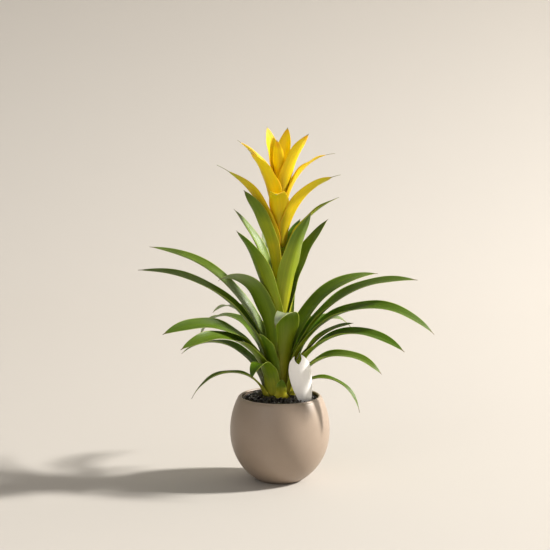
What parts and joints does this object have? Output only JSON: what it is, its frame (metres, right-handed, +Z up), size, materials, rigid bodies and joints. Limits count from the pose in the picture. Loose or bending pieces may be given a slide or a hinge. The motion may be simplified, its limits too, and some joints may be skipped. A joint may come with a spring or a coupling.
{
  "type": "potted bromeliad",
  "caption": "Potted yellow-flowered bromeliad: a rosette of arching green strap leaves and a tall spike of leaves and golden bracts, in a round taupe ceramic pot with a blank plant label.",
  "frame": {"origin": "centre of the ceramic pot's flat underside, where it stands", "axes": "+Z up along the pot's axis and the flower stem; -Y towards the plant's front, where the label stands right of the middle; +X to the plant's right as seen from the front"},
  "size_m": [0.4646, 0.3324, 0.565],
  "materials": {
    "pot_ceramic": "satin",
    "liner_plastic": "satin",
    "compost": "matte",
    "stem": "satin",
    "label": "matte",
    "rosette_leaf": "satin",
    "scape_leaf": "satin",
    "bract_leaf": "satin",
    "bract": "satin"
  },
  "bodies": {
    "root": {"pot": "pot_ceramic", "nursery_liner": "liner_plastic", "compost": "compost", "stem": "stem", "plant_label": "label", "leaf_back_left_lowest": "rosette_leaf", "leaf_back_low_left": "rosette_leaf", "leaf_back_low_right": "rosette_leaf", "leaf_back_lowest": "rosette_leaf", "leaf_back_middle": "rosette_leaf", "leaf_back_right": "rosette_leaf", "leaf_basal_scale": "rosette_leaf", "leaf_front_centre": "rosette_leaf", "leaf_front_left_curled": "rosette_leaf", "leaf_front_left_inner": "rosette_leaf", "leaf_left_back_grey": "rosette_leaf", "leaf_left_drooping": "rosette_leaf", "leaf_left_front_tall": "rosette_leaf", "leaf_left_low_lower": "rosette_leaf", "leaf_left_low_upper": "rosette_leaf", "leaf_left_middle": "rosette_leaf", "leaf_left_upper": "rosette_leaf", "leaf_right_back_low": "rosette_leaf", "leaf_right_back_tall": "rosette_leaf", "leaf_right_drooping": "rosette_leaf", "leaf_right_front_low": "rosette_leaf", "leaf_right_front_lowest": "rosette_leaf", "leaf_right_inner_low": "rosette_leaf", "leaf_right_middle": "rosette_leaf", "leaf_right_upper": "rosette_leaf", "scape_leaf_back": "scape_leaf", "scape_leaf_back_left": "scape_leaf", "scape_leaf_back_right": "scape_leaf", "scape_leaf_front_left": "scape_leaf", "scape_leaf_front_right": "scape_leaf", "scape_leaf_left": "scape_leaf", "scape_leaf_right": "scape_leaf", "bract_leaf_left": "bract_leaf", "bract_leaf_right": "bract_leaf", "bract_back_lower": "bract", "bract_back_top": "bract", "bract_front_lower": "bract", "bract_front_upper": "bract", "bract_left_lower": "bract", "bract_left_top": "bract", "bract_left_upper": "bract", "bract_right_lower": "bract", "bract_right_top": "bract", "bract_right_upper": "bract", "bract_top_inner": "bract"}
  },
  "joints": []
}
